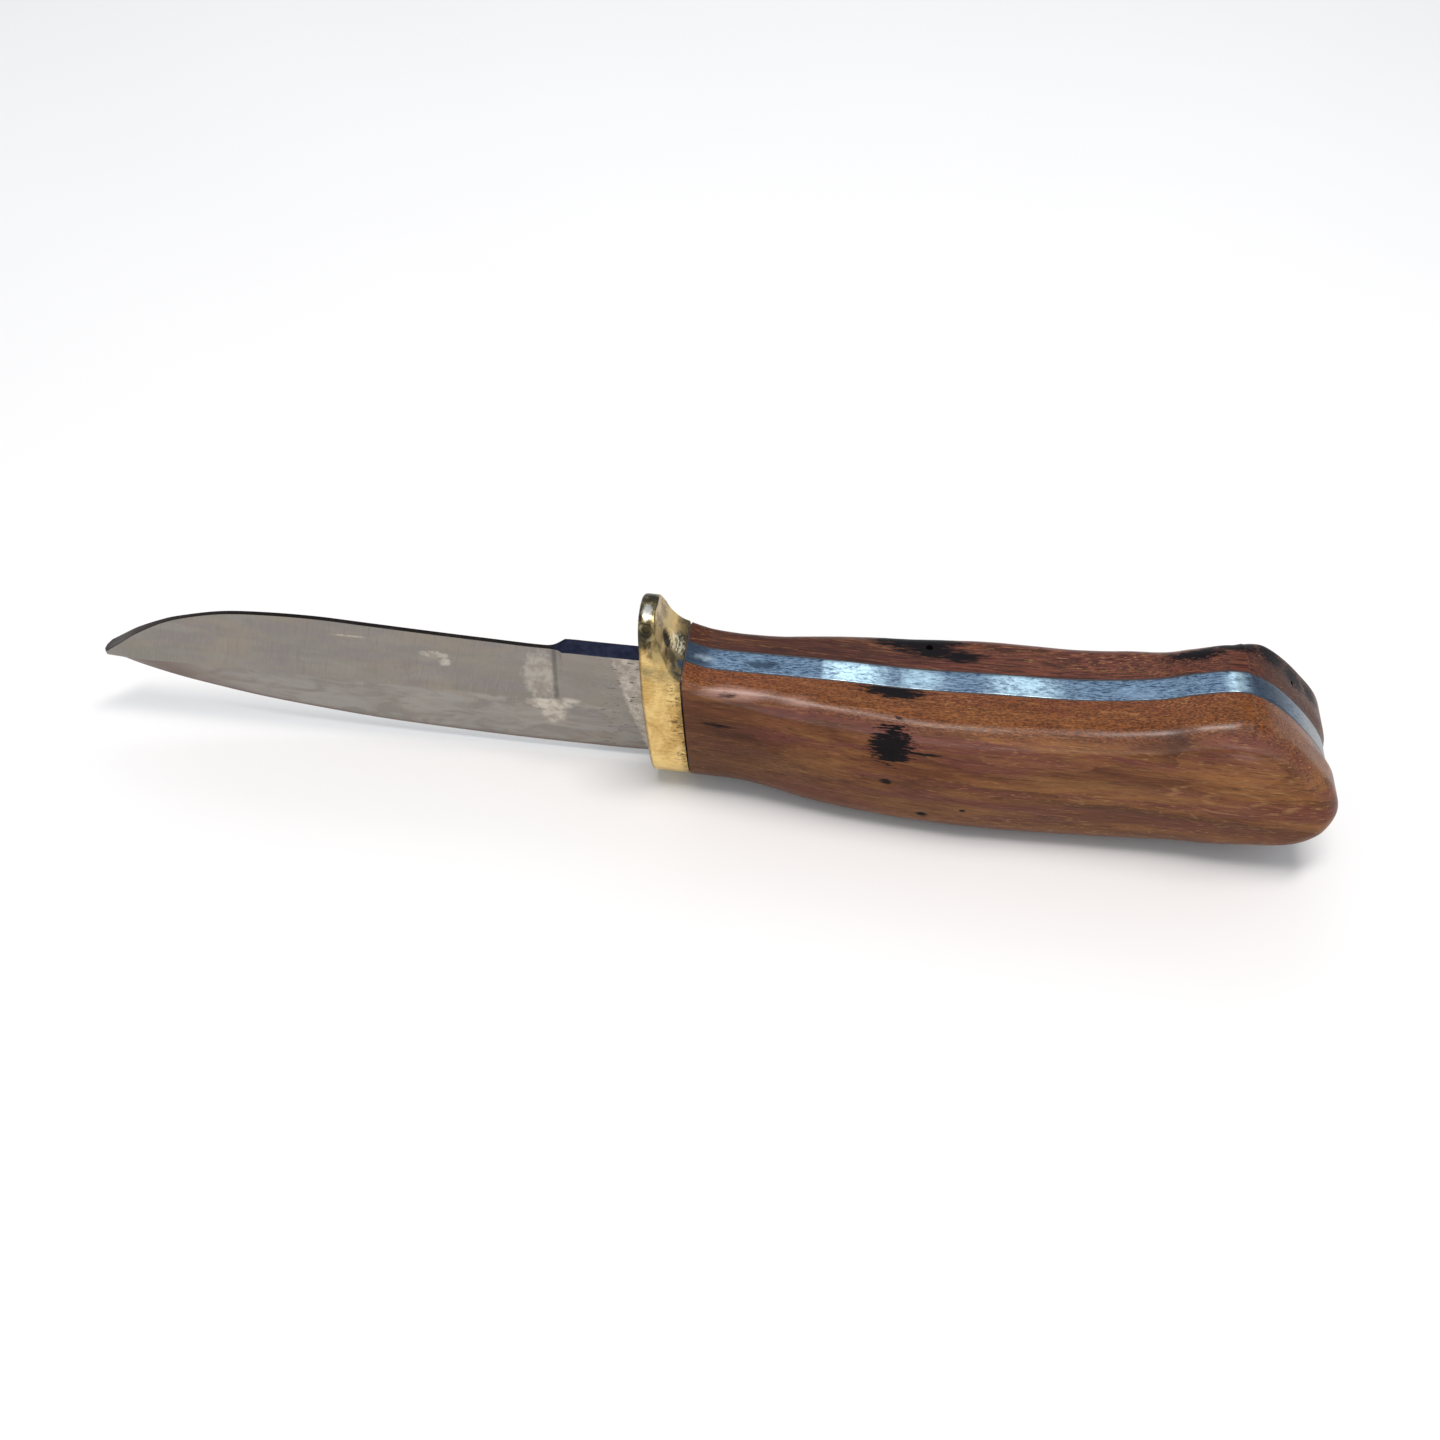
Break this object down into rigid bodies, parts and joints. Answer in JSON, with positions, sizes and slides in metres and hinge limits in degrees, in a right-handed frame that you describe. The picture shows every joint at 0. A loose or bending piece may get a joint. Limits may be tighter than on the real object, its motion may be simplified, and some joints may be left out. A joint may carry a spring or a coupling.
{
  "type": "whittling knife",
  "caption": "Fixed-blade carving knife: full-tang steel blade, soldered brass finger guard with a thumb ramp, and a rounded wooden handle of glued scales.",
  "frame": {"origin": "middle of the bounding box's base: on the middle plane of the steel, level with the lowest point of the handle's belly", "axes": "+X from the point to the butt, parallel to the ricasso's spine; +Y from the left scale to the right scale; +Z from the cutting edge up to the spine"},
  "size_m": [0.2308, 0.0282, 0.042],
  "materials": {
    "steel": "satin-ground blade with fine cross scratches, pale etched patches and a blue-grey polished tang edge",
    "brass": "hand-filed and polished, with fine cross scratches, pits and dark patina along the ramp",
    "solder": "dull silver-grey solder",
    "wood": "oiled reddish-brown hardwood with orange fibre flecks and black burl marks",
    "epoxy": "dark epoxy glue line",
    "pin_steel": "plain ground rod"
  },
  "bodies": {
    "root": {"blade_and_tang": "steel", "guard": "brass", "guard_solder": "solder", "scale_left": "wood", "scale_right": "wood", "glue_layer_left": "epoxy", "glue_layer_right": "epoxy", "hidden_pin_front": "pin_steel", "hidden_pin_middle": "pin_steel", "hidden_pin_rear": "pin_steel"}
  },
  "joints": []
}
